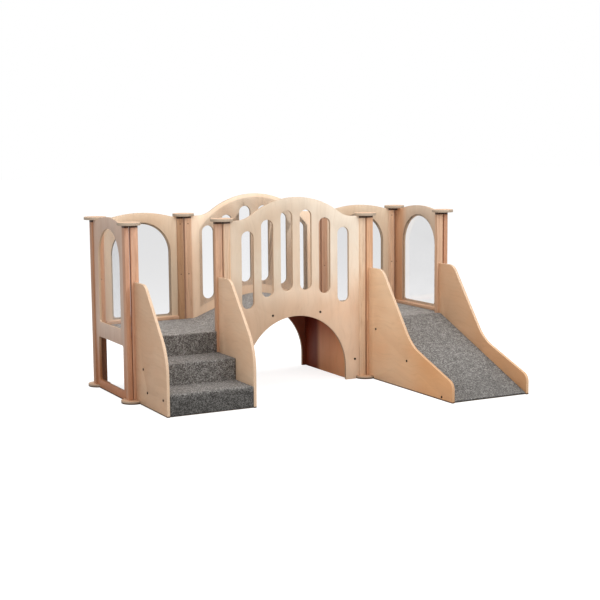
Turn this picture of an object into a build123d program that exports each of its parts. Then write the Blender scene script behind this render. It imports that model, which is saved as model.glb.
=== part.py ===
from build123d import *
from math import acos, atan, atan2, cos, degrees, sin, sqrt
import os

os.makedirs("parts", exist_ok=True)

# Layout in millimetres, +Z up; x and y are counted from the front left corner axis
platform_w = 620.0
platform_d = 630.0
bridge_span = 1050.0
deck_top = 405.0
stile_top = 1100.0
stair_length = 520.0
slide_length = 1010.0

# Corner posts: two stiles between a base disc and a top disc
disc_r = 72.5
disc_t = 18.0
stile_w = 48.0
stile_t = 30.0
pair_gap = 9.0
gap_round = 5.0
edge_cut = 2.0
side_in = 4.0
screw_r = 4.5
screw_deep = 3.0
screw_sunk = 0.4
screw_play = 0.2
screw_drop = 52.0
screw_low = 708.0
screw_side = 15.0

# Sheet thicknesses and rails
ply = 18.0
thin_ply = 12.0
bent_ply = 15.0
carpet = 8.0
hem = 3.0
acrylic = 5.0
slot_sheet = 4.0
rail = 30.0
clear = 0.5

# Window panels
window_side = 110.0
hump_side = 12.5
window_drop = 42.0
sill_up = 39.0
sill_round = 20.0
hump_up = 32.0
rabbet_w = 10.0
rabbet_deep = 6.0
crawl_foot = 58.0
crawl_head = 60.0
crawl_side = 52.0
crawl_round = 15.0
toe_high = 22.0

# Bridge
crest_up = 138.0
crest_side = 31.5
hollow_r = 173.0
slot_w = 86.0
slot_drops = [84.0, 140.0, 208.0]
slot_lifts = [223.0, 192.0, 124.0]
sheet_rim = 25.0
sheet_side = 22.0
sheet_shoulder = 28.3064
sheet_feet = [23.0, 27.0, 49.0]
arch_crest = 460.0
arch_side = 155.0
tunnel_side = 129.0
leg_rail_z = 136.0
leg_rail_w = 50.0
crown_up = 145.0
crown_r = 450.0
ramp_foot = 65.0
foot_r = 100.0

# Stairs and slide
unit_side_in = 19.5
unit_side_top = 750.0
unit_round = 100.0
stair_top_run = 187.0
stair_line_foot = 364.0
stair_nose_r = 350.0
tread_over = 70.5
stair_rail_y = 59.0
slide_top_run = 183.0
slide_knee_z = 292.0
slide_knee_r = 310.0
slide_nose_z = 122.0
slide_nose_r = 60.0
bed_start = 48.0
bed_end_z = 14.0
bed_back = 5.0
bed_rail_top = 106.0
bed_rail_end = 115.0

# Bolts through the side sheets into the rails
bolt_r = 3.0
bolt_hole_r = 3.25
head_r = 7.5
head_t = 3.0
bolt_len = 40.0

# Derived lines
left_0 = 0.0
left_1 = platform_w
right_0 = platform_w + bridge_span
right_1 = 2 * platform_w + bridge_span
mid = platform_w + bridge_span / 2
back = platform_d
half_t = stile_t / 2
half_ply = ply / 2
half_gap = pair_gap / 2
stile_out = half_gap + stile_w
side_plane = half_gap + half_t - side_in
bridge_crest = stile_top + crest_up
crest_reach = bridge_span / 2 - disc_r - crest_side
crest_r = (crest_reach**2 + crest_up**2) / (2 * crest_up) - hollow_r
disc_clear = disc_r + 3.5
place = Location((-mid, -(back + disc_r - slide_length) / 2, 0))


# A box between two corners
def slab(x0, x1, y0, y1, z0, z1):
    size = (x1 - x0, y1 - y0, z1 - z0)
    return Pos((x0 + x1) / 2, (y0 + y1) / 2, (z0 + z1) / 2) * Box(*size)


# A closed face from corners (u, v, radius)
def rounded(corners):
    edges = []
    ends = []
    count = len(corners)
    for i in range(count):
        u, v, radius = corners[i]
        at = Vector(u, v)
        if radius == 0:
            ends.append((at, at))
            continue
        before = (Vector(*corners[i - 1][:2]) - at).normalized()
        after = (Vector(*corners[(i + 1) % count][:2]) - at).normalized()
        half = acos(max(-1, min(1, before.dot(after)))) / 2
        reach = radius * cos(half) / sin(half)
        middle = at + (before + after).normalized() * (radius / sin(half) - radius)
        ends.append((at + before * reach, at + after * reach))
        edges.append(ThreePointArc(ends[i][0], middle, ends[i][1]))
    for i in range(count):
        start = ends[i][1]
        stop = ends[(i + 1) % count][0]
        if (stop - start).length > 0.001:
            edges.append(Line(start, stop))
    return make_face(edges)


# A face drawn in x and z made into a sheet from y0 to y1
def sheet_x(face, y0, y1):
    return extrude(Plane.XZ.offset(-y1) * face, y1 - y0)


# A face drawn in y and z made into a sheet from x0 to x1
def sheet_y(face, x0, x1):
    return extrude(Plane.YZ.offset(x0) * face, x1 - x0)


# Pins along x and along y, drawn with flats to keep the facets few
def pin(length, radius, flats):
    return extrude(RegularPolygon(radius, flats), length / 2, both=True)


def pin_x(x0, x1, y, z, radius, flats=8):
    return Pos((x0 + x1) / 2, y, z) * Rot(0, 90, 0) * pin(abs(x1 - x0), radius, flats)


def pin_y(x, y0, y1, z, radius, flats=8):
    return Pos(x, (y0 + y1) / 2, z) * Rot(90, 0, 0) * pin(abs(y1 - y0), radius, flats)


# The same piece on the other platform
def other_side(piece):
    return mirror(piece, Plane.YZ.offset(mid))


def save(name, pieces):
    solids = []
    for piece in pieces:
        for solid in piece.solids():
            solids.append(place * solid)
    shape = solids[0] if len(solids) == 1 else Compound(children=solids)
    shape.label = name
    export_step(shape, os.path.join("parts", name + ".step"))


screws = []
bolts = []


# One upright stile, rounded beside the gap, with two screws on its inward face
def stile(name, x0, x1, y0, y1, gap_at, face_y=0, face_x=0, shift=0):
    near, far = (x0, x1) if gap_at < 0 else (x1, x0)
    cut = edge_cut if far > near else -edge_cut
    corners = [
        (near, y0, gap_round),
        (far - cut, y0, 0),
        (far, y0 + edge_cut, 0),
        (far, y1 - edge_cut, 0),
        (far - cut, y1, 0),
        (near, y1, gap_round),
    ]
    post = Pos(0, 0, disc_t) * extrude(rounded(corners), stile_top - disc_t)
    for z in (stile_top - screw_drop, screw_low):
        if face_y:
            y = y0 if face_y < 0 else y1
            x = (x0 + x1) / 2
            post -= pin_y(x, y, y - face_y * screw_deep, z, screw_r, 6)
            top = y - face_y * screw_sunk
            screws.append(pin_y(x, top, y - face_y * screw_deep, z, screw_r - screw_play, 6))
        if face_x:
            x = x0 if face_x < 0 else x1
            y = (y0 + y1) / 2 + shift
            post -= pin_x(x, x - face_x * screw_deep, y, z, screw_r, 6)
            top = x - face_x * screw_sunk
            screws.append(pin_x(top, x - face_x * screw_deep, y, z, screw_r - screw_play, 6))
    save(name, [post])


# Stiles that run along x: (name, corner axis, side of it, line)
def all_stiles():
    front = [
        ("stile_stair_left", left_0, 1),
        ("stile_stair_right", left_1, -1),
        ("stile_bridge_front_left", left_1, 1),
        ("stile_bridge_front_right", right_0, -1),
        ("stile_slide_left", right_0, 1),
        ("stile_slide_right", right_1, -1),
    ]
    rear = [
        ("stile_rear_left_outer", left_0, 1),
        ("stile_rear_left_inner", left_1, -1),
        ("stile_bridge_rear_left", left_1, 1),
        ("stile_bridge_rear_right", right_0, -1),
        ("stile_rear_right_inner", right_0, 1),
        ("stile_rear_right_outer", right_1, -1),
    ]
    for y, facing, group in ((0, 1, front), (back, -1, rear)):
        for name, axis, side in group:
            near = axis + side * half_gap
            far = axis + side * stile_out
            stile(name, min(near, far), max(near, far), y - half_t, y + half_t, -side, face_y=facing)
    for word, axis, side in (("left", left_0, -1), ("right", right_1, 1)):
        near = axis + side * half_gap
        far = axis + side * (half_gap + stile_t)
        x0, x1 = min(near, far), max(near, far)
        reach = stile_w - half_t
        front_name, rear_name = "stile_" + word + "_side_front", "stile_" + word + "_side_rear"
        stile(front_name, x0, x1, -half_t, reach, -side, face_x=-side, shift=screw_side)
        stile(rear_name, x0, x1, back - reach, back + half_t, -side, face_x=-side, shift=-screw_side)


def discs():
    top = []
    base = []
    for x in (left_0, left_1, right_0, right_1):
        for y in (0, back):
            top.append(Pos(x, y, stile_top + disc_t / 2) * Cylinder(disc_r, disc_t))
            base.append(Pos(x, y, disc_t / 2) * Cylinder(disc_r, disc_t))
    save("top_discs", top)
    save("base_discs", base)


# Window opening with rounded sill corners, or grown by a margin with square ones
def window_face(centre, grow=0.0):
    half = platform_w / 2 - window_side + grow
    sill = deck_top + sill_up - grow
    spring = stile_top - window_drop - (half - grow)
    start = centre - half
    stop = centre + half
    arch = ThreePointArc((stop, spring), (centre, spring + half), (start, spring))
    if grow:
        square = Polyline((start, spring), (start, sill), (stop, sill), (stop, spring))
        return make_face(square.edges() + [arch])
    edge = sill_round
    lean = edge * (1 - sqrt(0.5))
    edges = [
        Line((start + edge, sill), (stop - edge, sill)),
        ThreePointArc((stop - edge, sill), (stop - lean, sill + lean), (stop, sill + edge)),
        Line((stop, sill + edge), (stop, spring)),
        arch,
        Line((start, spring), (start, sill + edge)),
        ThreePointArc((start, sill + edge), (start + lean, sill + lean), (start + edge, sill)),
    ]
    return make_face(edges)


# Panel outline with the low hump on top, from u0 to u1
def panel_face(u0, u1, foot):
    centre = (u0 + u1) / 2
    half = centre - disc_r - hump_side
    edges = [
        Line((u0, foot), (u1, foot)),
        Line((u1, foot), (u1, stile_top)),
        Line((u1, stile_top), (centre + half, stile_top)),
        ThreePointArc((centre + half, stile_top), (centre, stile_top + hump_up), (centre - half, stile_top)),
        Line((centre - half, stile_top), (u0, stile_top)),
        Line((u0, stile_top), (u0, foot)),
    ]
    return make_face(edges)


def rear_window():
    u0, u1 = stile_out, platform_w - stile_out
    centre = (u0 + u1) / 2
    inner = back - half_ply
    panel = sheet_x(panel_face(u0, u1, deck_top - crawl_head), inner, back + half_ply)
    panel -= sheet_x(window_face(centre), inner - 1, back + half_ply + 1)
    panel -= sheet_x(window_face(centre, rabbet_w), inner - 1, inner + rabbet_deep)
    seat = inner + rabbet_deep
    pane = sheet_x(window_face(centre, rabbet_w - clear), seat - acrylic, seat)
    strip = slab(u0 + clear, u1 - clear, inner - ply, inner, deck_top, deck_top + toe_high)
    return panel, pane, strip


def side_window():
    reach = stile_w - half_t
    u0, u1 = reach, back - reach
    centre = back / 2
    outer = -side_plane - half_ply
    inner = -side_plane + half_ply
    panel = sheet_y(panel_face(u0, u1, 0), outer, inner)
    panel -= sheet_y(window_face(centre), outer - 1, inner + 1)
    panel -= sheet_y(window_face(centre, rabbet_w), inner - rabbet_deep, inner + 1)
    low = [
        (u0 + crawl_side, crawl_foot, crawl_round),
        (u1 - crawl_side, crawl_foot, crawl_round),
        (u1 - crawl_side, deck_top - crawl_head, crawl_round),
        (u0 + crawl_side, deck_top - crawl_head, crawl_round),
    ]
    panel -= sheet_y(rounded(low), outer - 1, inner + 1)
    panel -= slab(outer - 1, inner + 1, u0 - 1, disc_clear, -1, disc_t + 2)
    panel -= slab(outer - 1, inner + 1, back - disc_clear, u1 + 1, -1, disc_t + 2)
    seat = inner - rabbet_deep
    pane = sheet_y(window_face(centre, rabbet_w - clear), seat, seat + acrylic)
    strip = slab(inner, inner + ply, u0 + clear, u1 - clear, deck_top, deck_top + toe_high)
    return panel, pane, strip


def windows():
    panel, pane, strip = rear_window()
    save("window_panel_rear_left", [panel])
    save("window_panel_rear_right", [other_side(panel)])
    save("window_pane_rear_left", [pane])
    save("window_pane_rear_right", [other_side(pane)])
    side, side_pane, side_strip = side_window()
    save("window_panel_left", [side])
    save("window_panel_right", [other_side(side)])
    save("window_pane_left", [side_pane])
    save("window_pane_right", [other_side(side_pane)])
    strips = [strip, side_strip, other_side(strip), other_side(side_strip)]
    save("toe_strips", strips)


# Deck outline seen from above, notched round the stiles
def deck_face(front):
    a = stile_out + clear
    notch = half_t + clear
    rear_edge = back - half_ply - clear
    inner = -side_plane + half_ply + clear
    tight = -half_gap + clear
    reach = stile_w - half_t + clear
    end = left_1 - clear
    corners = [
        (tight, notch),
        (a, notch),
        (a, front),
        (left_1 - a, front),
        (left_1 - a, notch),
        (end, notch),
        (end, back - notch),
        (left_1 - a, back - notch),
        (left_1 - a, rear_edge),
        (a, rear_edge),
        (a, back - notch),
        (tight, back - notch),
        (tight, back - reach),
        (inner, back - reach),
        (inner, reach),
        (tight, reach),
    ]
    return make_face(Polyline(*corners, close=True))


def decks():
    board_top = deck_top - carpet
    board_low = board_top - ply
    wide = deck_face(-half_t)
    short = deck_face(-half_t + carpet)
    rug = Pos(0, 0, board_top) * extrude(wide, carpet)
    save("carpet_left_deck", [rug])
    save("carpet_right_deck", [other_side(rug)])
    save("deck_board_left", [Pos(0, 0, board_low) * extrude(short, ply)])
    save("deck_board_right", [other_side(Pos(0, 0, board_low) * extrude(wide, ply))])
    low = board_low - rail
    inner = -side_plane + half_ply
    reach = stile_w - half_t
    side = slab(inner, inner + rail, reach, back - reach, low, board_low)
    rear = slab(stile_out, left_1 - stile_out, back - half_ply - rail, back - half_ply, low, board_low)
    open_end = slab(left_1 - half_gap - rail, left_1 - half_gap, half_t, back - half_t, low, board_low)
    board_y = -half_t + carpet + thin_ply
    stair_edge = slab(stile_out, left_1 - stile_out, board_y, board_y + rail, low, board_low)
    slide_edge = slab(stile_out, left_1 - stile_out, -half_t, -half_t + rail, low, board_low)
    save("deck_rails_left", [side, rear, open_end, stair_edge])
    right = [side, rear, open_end, slide_edge]
    save("deck_rails_right", [other_side(piece) for piece in right])


# Angle of the bridge ramp, tangent to the crown
crown_c = deck_top + crown_up - crown_r
foot_d = bridge_span / 2 - ramp_foot
ramp = atan2(foot_d, deck_top - crown_c) - acos(crown_r / sqrt(foot_d**2 + (deck_top - crown_c) ** 2))
hollow_d = foot_d + foot_r * sin(ramp / 2) / cos(ramp / 2)


# Points of the bridge floor line, lowered by a depth, on the right half
def floor_points(depth):
    r1 = foot_r + depth
    r2 = crown_r - depth
    z1 = deck_top + foot_r
    return [
        (bridge_span / 2 - clear, deck_top - depth),
        (hollow_d, deck_top - depth),
        (hollow_d - r1 * sin(ramp / 2), z1 - r1 * cos(ramp / 2)),
        (hollow_d - r1 * sin(ramp), z1 - r1 * cos(ramp)),
        (r2 * sin(ramp), crown_c + r2 * cos(ramp)),
        (0, crown_c + r2),
    ]


# Edges of that line from the left end to the right end
def floor_edges(depth):
    p = floor_points(depth)
    right = [(mid + u, v) for u, v in p]
    left = [(mid - u, v) for u, v in p]
    return [
        Line(left[0], left[1]),
        ThreePointArc(left[1], left[2], left[3]),
        Line(left[3], left[4]),
        ThreePointArc(left[4], right[5], right[4]),
        Line(right[4], right[3]),
        ThreePointArc(right[3], right[2], right[1]),
        Line(right[1], right[0]),
    ], left[0], right[0]


# A floor layer between two depths, notched at the four bridge stiles
def floor_layer(upper, lower):
    top, a, b = floor_edges(upper)
    low, c, d = floor_edges(lower)
    face = make_face(top + low + [Line(a, c), Line(b, d)])
    layer = sheet_x(face, half_ply + clear, back - half_ply - clear)
    inner = bridge_span / 2 - stile_out - clear
    for side in (-1, 1):
        x0 = mid + side * inner
        x1 = mid + side * (bridge_span / 2 + 1)
        for y0, y1 in ((0, half_t + clear), (back - half_t - clear, back)):
            layer -= slab(min(x0, x1), max(x0, x1), y0, y1, deck_top - 60, deck_top + 20)
    return layer


# Height of the ramp's lower face at a distance from mid span
def ramp_under(d):
    p = floor_points(carpet + bent_ply)
    slope = (p[3][1] - p[4][1]) / (p[3][0] - p[4][0])
    return p[4][1] + (d - p[4][0]) * slope


# A square rail below a slope, holding its bolt hole; angle turns it in its own plane
def tilted(u, v, angle):
    square = make_face(Rectangle(rail, rail).edges())
    return Pos(u, v) * Rot(0, 0, degrees(angle)) * square


# One side of the bridge drawn in x and z
def bridge_side_face():
    edge = bridge_span / 2 - stile_out
    crest_c = bridge_crest - crest_r
    hollow_c = stile_top + hollow_r
    tangent = crest_reach
    turn = atan2(tangent, hollow_c - crest_c)
    meet = (crest_r * sin(turn), crest_c + crest_r * cos(turn))
    bend = (tangent - hollow_r * sin(turn / 2), hollow_c - hollow_r * cos(turn / 2))
    arch_r = bridge_span / 2 - arch_side
    spring = arch_crest - arch_r
    edges = [
        Line((mid - edge, 0), (mid - edge, stile_top)),
        Line((mid - edge, stile_top), (mid - tangent, stile_top)),
        ThreePointArc((mid - tangent, stile_top), (mid - bend[0], bend[1]), (mid - meet[0], meet[1])),
        ThreePointArc((mid - meet[0], meet[1]), (mid, bridge_crest), (mid + meet[0], meet[1])),
        ThreePointArc((mid + meet[0], meet[1]), (mid + bend[0], bend[1]), (mid + tangent, stile_top)),
        Line((mid + tangent, stile_top), (mid + edge, stile_top)),
        Line((mid + edge, stile_top), (mid + edge, 0)),
        Line((mid + edge, 0), (mid + arch_r, 0)),
        Line((mid + arch_r, 0), (mid + arch_r, spring)),
        ThreePointArc((mid + arch_r, spring), (mid, arch_crest), (mid - arch_r, spring)),
        Line((mid - arch_r, spring), (mid - arch_r, 0)),
        Line((mid - arch_r, 0), (mid - edge, 0)),
    ]
    return make_face(edges)


def slot_faces():
    faces = []
    pitch = bridge_span / 7.5
    for i in range(3):
        for side in (-1, 1):
            u = mid + side * pitch * (i + 0.5)
            top, foot = bridge_crest - slot_drops[i], deck_top + slot_lifts[i]
            faces.append(Pos(u, (top + foot) / 2) * SlotOverall(top - foot, slot_w, rotation=90))
    return faces


# Clear sheet behind the six slots, following the crest above and the floor below
def slot_sheet_face():
    pitch = bridge_span / 7.5
    out = pitch * 2.5 + slot_w / 2 + sheet_side
    shoulder = bridge_crest - slot_drops[2] - sheet_shoulder
    low = [deck_top + slot_lifts[i] - sheet_feet[i] for i in range(3)]
    foot = [(out, low[2]), (pitch * 1.5, low[1]), (pitch * 0.5, low[0])]
    line = [(mid - u, v) for u, v in foot] + [(mid + u, v) for u, v in reversed(foot)]
    edges = [
        Polyline(*line),
        Line(line[-1], (mid + out, shoulder)),
        ThreePointArc((mid + out, shoulder), (mid, bridge_crest - sheet_rim), (mid - out, shoulder)),
        Line((mid - out, shoulder), line[0]),
    ]
    return make_face([edge for part in edges for edge in part.edges()])


def bridge():
    # Cross rails: two under the ramps, two under the ends, two on the legs
    deep = carpet + bent_ply
    rail_d = bridge_span / 6
    p = floor_points(deep)
    lean = atan((p[3][1] - p[4][1]) / (p[3][0] - p[4][0]))
    drop = (rail / 2) * cos(lean)
    shift = (rail / 2) * sin(lean)
    top_d = rail_d - shift
    rail_z = ramp_under(top_d) - drop
    leg_0 = bridge_span / 2 - tunnel_side + ply
    leg_x = leg_0 + leg_rail_w / 2
    leg_z = leg_rail_z
    rails = []
    for side in (-1, 1):
        u = mid + side * rail_d
        rails.append(sheet_x(tilted(u, rail_z, side * lean), half_ply, back - half_ply))
        end_0 = mid + side * (bridge_span / 2 - half_gap)
        end_1 = end_0 - side * rail
        z = deck_top - deep
        rails.append(slab(min(end_0, end_1), max(end_0, end_1), half_t, back - half_t, z - rail, z))
        x0, x1 = mid + side * leg_0, mid + side * (leg_0 + leg_rail_w)
        low, high = leg_z - rail / 2, leg_z + rail / 2
        rails.append(slab(min(x0, x1), max(x0, x1), half_ply, back - half_ply, low, high))

    # Side sheets with slots and arch
    face = bridge_side_face()
    for slot in slot_faces():
        face -= slot
    spots = []
    for side in (-1, 1):
        spots.append((mid + side * rail_d, rail_z))
        spots.append((mid + side * leg_x, leg_z))
    for name, y, out in (("bridge_side_front", 0, -1), ("bridge_side_rear", back, 1)):
        panel = sheet_x(face, y - half_ply, y + half_ply)
        for axis, side in ((left_1, 1), (right_0, -1)):
            x0, x1 = axis, axis + side * disc_clear
            panel -= slab(min(x0, x1), max(x0, x1), y - 20, y + 20, -1, disc_t + 2)
        for x, z in spots:
            panel -= pin_y(x, y - half_ply - 1, y + half_ply + 1, z, bolt_hole_r)
            face_y = y + out * half_ply
            tip = face_y - out * bolt_len
            for i in range(len(rails)):
                rails[i] -= pin_y(x, y, tip - out, z, bolt_hole_r)
            head = pin_y(x, face_y, face_y + out * head_t, z, head_r, 12)
            bolts.append(head + pin_y(x, face_y, tip, z, bolt_r))
        save(name, [panel])
    save("bridge_cross_rails", rails)
    clear_face = slot_sheet_face()
    save("slot_sheet_front", [sheet_x(clear_face, half_ply, half_ply + slot_sheet)])
    save("slot_sheet_rear", [sheet_x(clear_face, back - half_ply - slot_sheet, back - half_ply)])

    # Tunnel walls between the side sheets, bevelled to meet the ramp
    near = bridge_span / 2 - tunnel_side
    far = near + ply
    for word, side in (("left", -1), ("right", 1)):
        corners = [
            (mid + side * near, 0),
            (mid + side * far, 0),
            (mid + side * far, ramp_under(far) - 0.2),
            (mid + side * near, ramp_under(near) - 0.2),
        ]
        wall = make_face(Polyline(*corners, close=True))
        save("tunnel_wall_" + word, [sheet_x(wall, half_ply, back - half_ply)])

    save("bridge_deck", [floor_layer(carpet, deep)])
    save("carpet_bridge", [floor_layer(0, carpet)])


# Side sheet of the stairs or the slide, drawn in y and z, with bolts into its rails
def unit_sides(words, axis, corners, spots, rails):
    face = rounded(corners)
    for word, side in zip(words, (1, -1)):
        base = axis if side > 0 else axis + platform_w
        outer = base + side * unit_side_in
        inner = outer + side * ply
        x0, x1 = min(outer, inner), max(outer, inner)
        panel = sheet_y(face, x0, x1)
        panel -= slab(x0 - 1, x1 + 1, -disc_clear, 0, -1, disc_t + 2)
        tip = outer + side * bolt_len
        for y, z in spots:
            panel -= pin_x(x0 - 1, x1 + 1, y, z, bolt_hole_r)
            for i in range(len(rails)):
                rails[i] -= pin_x(outer, tip + side, y, z, bolt_hole_r)
            head = pin_x(outer, outer - side * head_t, y, z, head_r, 12)
            bolts.append(head + pin_x(outer, tip, y, z, bolt_r))
        save(word, [panel])


def stairs():
    rise = deck_top / 3
    going = (stair_length - half_t) / 2
    edge_1 = -stair_length
    edge_2 = -half_t - going
    edge_3 = -half_t
    x0 = unit_side_in + ply
    x1 = left_1 - x0
    in_0 = stile_out + clear
    in_1 = left_1 - in_0
    under_1 = rise - carpet - ply
    under_2 = 2 * rise - carpet - ply
    board_low = deck_top - carpet - ply
    tread_end = edge_2 + carpet + tread_over
    save("stair_riser_lower", [slab(x0, x1, edge_1 + carpet, edge_1 + carpet + thin_ply, 0, under_1)])
    save("stair_tread_lower", [slab(x0, x1, edge_1 + carpet, tread_end, under_1, under_1 + ply)])
    riser_2 = slab(x0, x1, edge_2 + carpet, edge_2 + carpet + thin_ply, under_1 + ply, under_2)
    save("stair_riser_middle", [riser_2])
    save("stair_tread_upper", [slab(x0, x1, edge_2 + carpet, edge_3, under_2, under_2 + ply)])
    riser_3 = slab(in_0, in_1, edge_3 + carpet, edge_3 + carpet + thin_ply, under_2 + ply, board_low)
    save("stair_riser_top", [riser_3])
    runner = [
        (edge_1, hem),
        (edge_1, rise),
        (edge_2, rise),
        (edge_2, 2 * rise),
        (edge_3, 2 * rise),
        (edge_3, 2 * rise - carpet),
        (edge_2 + carpet, 2 * rise - carpet),
        (edge_2 + carpet, rise - carpet),
        (edge_1 + carpet, rise - carpet),
        (edge_1 + carpet, hem),
    ]
    rug = sheet_y(make_face(Polyline(*runner, close=True)), x0 + clear, x1 - clear)
    rug += slab(in_0, in_1, edge_3, edge_3 + carpet, 2 * rise - carpet, deck_top - carpet)
    save("carpet_stairs", [rug])
    half = rail / 2
    spots = [
        (edge_1 + stair_rail_y, under_1 - half),
        (tread_end - half, under_1 - half),
        (edge_3 - going / 2, under_2 - half),
    ]
    rails = []
    for y, z in spots:
        rails.append(slab(x0, x1, y - half, y + half, z - half, z + half))
    corners = [
        (-half_t, 0, 0),
        (-half_t, unit_side_top, 0),
        (-stair_top_run, unit_side_top, unit_round),
        (-stair_length, stair_line_foot, stair_nose_r),
        (-stair_length, 0, 0),
    ]
    unit_sides(("stair_side_left", "stair_side_right"), left_0, corners, spots, rails)
    save("stair_cross_rails", rails)


def slide():
    x0 = right_0 + unit_side_in + ply
    x1 = right_1 - unit_side_in - ply
    run = slide_length - bed_back - bed_start
    slope = (deck_top - bed_end_z) / run
    angle = atan(slope)
    bend = (1 - cos(angle)) / sin(angle)

    # Bed line lowered by a depth: flat lip, then the straight slope, stopped short of the end
    def line(depth, short):
        z = deck_top - depth
        knee = (-bed_start - depth * bend, z)
        stop = -(slide_length - bed_back - short)
        level = bed_end_z - depth / cos(angle) + short * slope
        return [(-half_t - clear, z), knee, (stop, level)]

    def layer(corners):
        return sheet_y(make_face(Polyline(*corners, close=True)), x0 + clear, x1 - clear)

    # The carpet rolls over the bed's lower end, down to a hem above the floor
    end = -(slide_length - bed_back)
    under = list(reversed(line(carpet, carpet)))
    save("carpet_slide", [layer(line(0, 0) + [(end, hem), (end + carpet, hem)] + under)])
    bed = layer(line(carpet, carpet) + list(reversed(line(carpet + thin_ply, carpet))))
    save("slide_bed", [bed - slab(x0 - 9, x1 + 9, -slide_length - 50, 0, -100, 0.0)])
    down = carpet + thin_ply + rail / 2
    spots = []
    rails = []
    for y in (-bed_rail_top, -(slide_length * 0.487), -(slide_length - bed_rail_end)):
        z = deck_top - (-y - bed_start) * slope - down / cos(angle)
        spots.append((y, z))
        rails.append(sheet_y(tilted(y, z, angle), x0, x1))
    knee = slide_length * 0.534
    corners = [
        (-half_t, 0, 0),
        (-half_t, unit_side_top, 0),
        (-slide_top_run, unit_side_top, unit_round),
        (-knee, slide_knee_z, slide_knee_r),
        (-slide_length, slide_nose_z, slide_nose_r),
        (-slide_length, 0, 0),
    ]
    unit_sides(("slide_side_left", "slide_side_right"), right_0, corners, spots, rails)
    save("slide_cross_rails", rails)


all_stiles()
discs()
windows()
decks()
bridge()
stairs()
slide()
save("panel_bolts", bolts)
save("stile_screws", screws)
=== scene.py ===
import math
import random

import bmesh
import bpy
from mathutils import Matrix, Vector, noise


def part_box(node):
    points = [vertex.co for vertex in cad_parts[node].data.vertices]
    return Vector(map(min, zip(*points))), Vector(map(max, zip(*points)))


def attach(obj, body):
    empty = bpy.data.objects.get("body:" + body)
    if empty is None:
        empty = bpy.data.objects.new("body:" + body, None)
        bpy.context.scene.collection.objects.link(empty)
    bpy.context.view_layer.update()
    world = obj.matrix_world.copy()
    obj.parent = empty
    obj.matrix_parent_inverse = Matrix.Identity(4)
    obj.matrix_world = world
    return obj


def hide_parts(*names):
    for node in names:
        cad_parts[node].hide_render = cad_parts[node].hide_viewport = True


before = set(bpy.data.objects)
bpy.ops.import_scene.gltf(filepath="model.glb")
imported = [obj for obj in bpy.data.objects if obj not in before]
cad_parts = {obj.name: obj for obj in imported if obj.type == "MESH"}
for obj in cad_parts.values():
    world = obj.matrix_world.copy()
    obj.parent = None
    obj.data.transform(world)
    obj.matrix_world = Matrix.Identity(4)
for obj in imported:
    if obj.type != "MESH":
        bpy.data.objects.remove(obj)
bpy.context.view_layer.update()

scene = bpy.context.scene
scene.view_settings.view_transform = "Standard"

# The object's own layout, metres, in the frame's coordinates
sheetT = 0.018
plyCount = 13
carpetT = 0.008
rise = 0.135
platformWidth, platformDepth = 0.620, 0.630
halfGap = 0.0045
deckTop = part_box("carpet_left_deck")[1].z


# Small helpers for node trees
def addNode(tree, kind, values=None, **settings):
    made = tree.nodes.new(kind)
    for key, value in settings.items():
        setattr(made, key, value)
    for key, value in (values or {}).items():
        socket = made.inputs[key]
        if isinstance(value, bpy.types.NodeSocket):
            tree.links.new(value, socket)
        else:
            socket.default_value = value
    return made


def newMaterial(name):
    mat = bpy.data.materials.new(name)
    mat.use_nodes = True
    tree = mat.node_tree
    return mat, tree, tree.nodes["Principled BSDF"]


def mathNode(tree, operation, a, b=0.0, c=0.0):
    made = addNode(tree, "ShaderNodeMath", {0: a, 1: b, 2: c}, operation=operation)
    return made.outputs[0]


def mixColor(tree, factor, a, b, blend="MIX"):
    made = addNode(tree, "ShaderNodeMix", {0: factor}, data_type="RGBA", blend_type=blend)
    for index, value in ((6, a), (7, b)):
        if isinstance(value, bpy.types.NodeSocket):
            tree.links.new(value, made.inputs[index])
        else:
            made.inputs[index].default_value = value
    return made.outputs[2]


def ramp(tree, factor, stops):
    made = addNode(tree, "ShaderNodeValToRGB", {0: factor})
    band = made.color_ramp
    while len(band.elements) < len(stops):
        band.elements.new(0.5)
    for element, (place, color) in zip(band.elements, stops):
        element.position = place
        element.color = color
    return made.outputs[0]


# White where a value has passed the end, black before the start
def rising(tree, value, start, end):
    return ramp(tree, value, [(start, (0, 0, 0, 1)), (end, (1, 1, 1, 1))])


# The same for a coordinate in metres, eased at both ends, upwards or downwards
def eased(tree, value, begin, end):
    made = addNode(
        tree,
        "ShaderNodeMapRange",
        {"Value": value, "From Min": begin, "From Max": end},
        interpolation_type="SMOOTHSTEP",
    )
    return made.outputs[0]


def tinted(color, red, green, blue):
    return (min(1.0, color[0] * red), min(1.0, color[1] * green), min(1.0, color[2] * blue), 1.0)


def srgb(r, g, b):
    out = []
    for value in (r, g, b):
        part = value / 255
        out.append(part / 12.92 if part <= 0.04045 else ((part + 0.055) / 1.055) ** 2.4)
    return (*out, 1.0)


# Coordinates pushed about by a slow noise, so that the grain wanders
def wandering(tree, coords, amount, seed):
    slow = addNode(
        tree,
        "ShaderNodeTexNoise",
        {"Vector": coords, "Scale": 2.6, "Detail": 2.0, "Roughness": 0.5},
    )
    centred = addNode(
        tree, "ShaderNodeVectorMath", {0: slow.outputs["Color"], 1: (0.5, 0.5, 0.5)}, operation="SUBTRACT"
    )
    scaled = addNode(
        tree, "ShaderNodeVectorMath", {0: centred.outputs[0], "Scale": amount}, operation="SCALE"
    )
    moved = addNode(tree, "ShaderNodeVectorMath", {0: coords, 1: scaled.outputs[0]}, operation="ADD")
    shifted = addNode(
        tree,
        "ShaderNodeVectorMath",
        {0: moved.outputs[0], 1: (seed * 0.37, seed * 0.21, seed * 0.53)},
        operation="ADD",
    )
    return shifted.outputs[0]


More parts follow.
